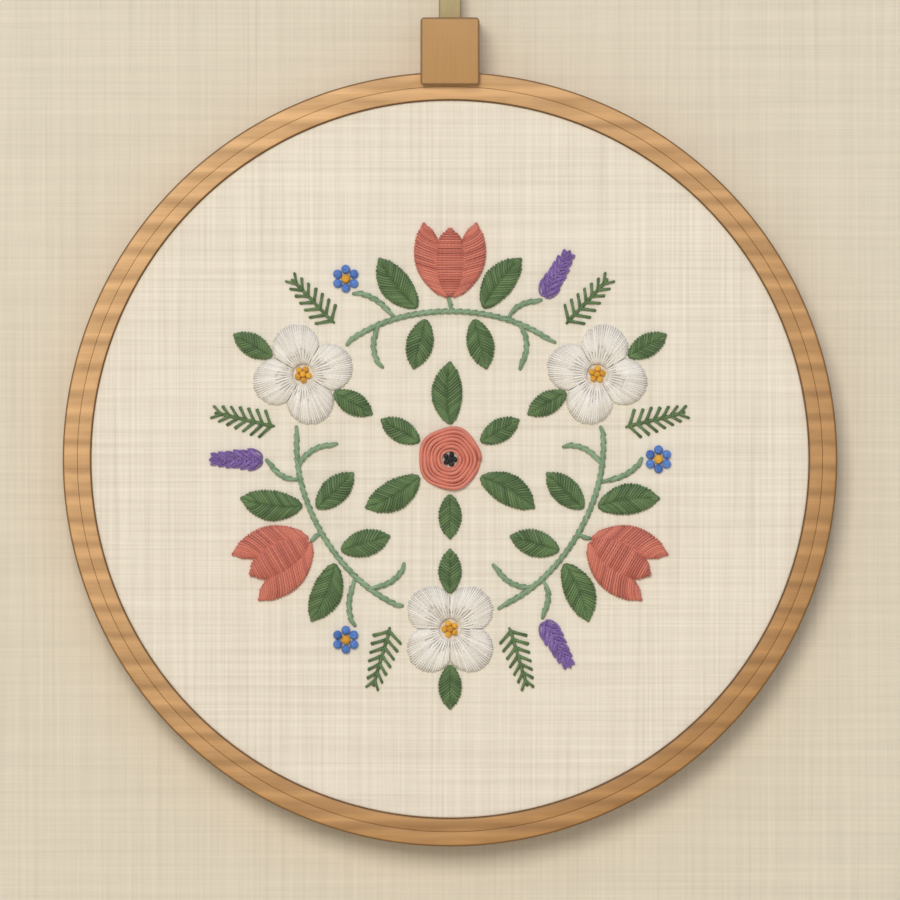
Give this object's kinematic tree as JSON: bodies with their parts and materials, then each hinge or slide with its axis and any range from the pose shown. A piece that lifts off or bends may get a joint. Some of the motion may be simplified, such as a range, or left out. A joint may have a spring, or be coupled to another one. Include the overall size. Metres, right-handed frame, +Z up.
{
  "type": "embroidered linen wall art in a round wooden hoop",
  "caption": "Linen embroidered with a floral wreath, drawn drum-tight in a round bent-wood hoop with a wooden block at the top and a looped hanging tape.",
  "frame": {"origin": "the hanging point: the inside top of the tape's eye, where a nail or hook carries the piece", "axes": "+X to the right and +Z up, seen from the front; the embroidered face looks along -Y and the back is at +Y"},
  "size_m": [0.1642, 0.0113, 0.2062],
  "materials": {
    "bent_wood": "sanded, thin satin wax",
    "block_wood": "sanded, thin satin wax",
    "linen_cloth": "plain weave with slubs",
    "cotton_tape": "plain woven tape",
    "sage_thread": "stranded cotton, soft sheen",
    "leaf_thread": "stranded cotton, soft sheen",
    "coral_thread": "stranded cotton, soft sheen",
    "white_thread": "stranded cotton, soft sheen",
    "yellow_thread": "stranded cotton, soft sheen",
    "blue_thread": "stranded cotton, soft sheen",
    "purple_thread": "stranded cotton, soft sheen",
    "black_thread": "stranded cotton, soft sheen"
  },
  "bodies": {
    "root": {"outer_strip": "bent_wood", "inner_strip": "bent_wood", "stretcher_ring": "bent_wood", "linen": "linen_cloth", "clamp_block": "block_wood", "hanging_tape": "cotton_tape", "tulip_1": "coral_thread", "tulip_2": "coral_thread", "tulip_3": "coral_thread", "open_flower_1": "white_thread", "open_flower_2": "white_thread", "open_flower_3": "white_thread", "flower_knots_1": "yellow_thread", "flower_knots_2": "yellow_thread", "flower_knots_3": "yellow_thread", "vine_1": "sage_thread", "vine_2": "sage_thread", "vine_3": "sage_thread", "broad_leaf_1": "leaf_thread", "broad_leaf_2": "leaf_thread", "broad_leaf_3": "leaf_thread", "broad_leaf_4": "leaf_thread", "broad_leaf_5": "leaf_thread", "broad_leaf_6": "leaf_thread", "broad_leaf_7": "leaf_thread", "broad_leaf_8": "leaf_thread", "broad_leaf_9": "leaf_thread", "inner_leaf_1": "leaf_thread", "inner_leaf_2": "leaf_thread", "inner_leaf_3": "leaf_thread", "inner_leaf_4": "leaf_thread", "inner_leaf_5": "leaf_thread", "inner_leaf_6": "leaf_thread", "short_leaf_1": "leaf_thread", "short_leaf_2": "leaf_thread", "short_leaf_3": "leaf_thread", "short_leaf_4": "leaf_thread", "short_leaf_5": "leaf_thread", "short_leaf_6": "leaf_thread", "short_leaf_7": "leaf_thread", "short_leaf_8": "leaf_thread", "short_leaf_9": "leaf_thread", "fern_1": "leaf_thread", "fern_2": "leaf_thread", "fern_3": "leaf_thread", "fern_4": "leaf_thread", "fern_5": "leaf_thread", "fern_6": "leaf_thread", "berries_1": "blue_thread", "berries_2": "blue_thread", "berries_3": "blue_thread", "heather_1": "purple_thread", "heather_2": "purple_thread", "heather_3": "purple_thread", "woven_rose": "coral_thread", "rose_knots": "black_thread"}
  },
  "joints": []
}
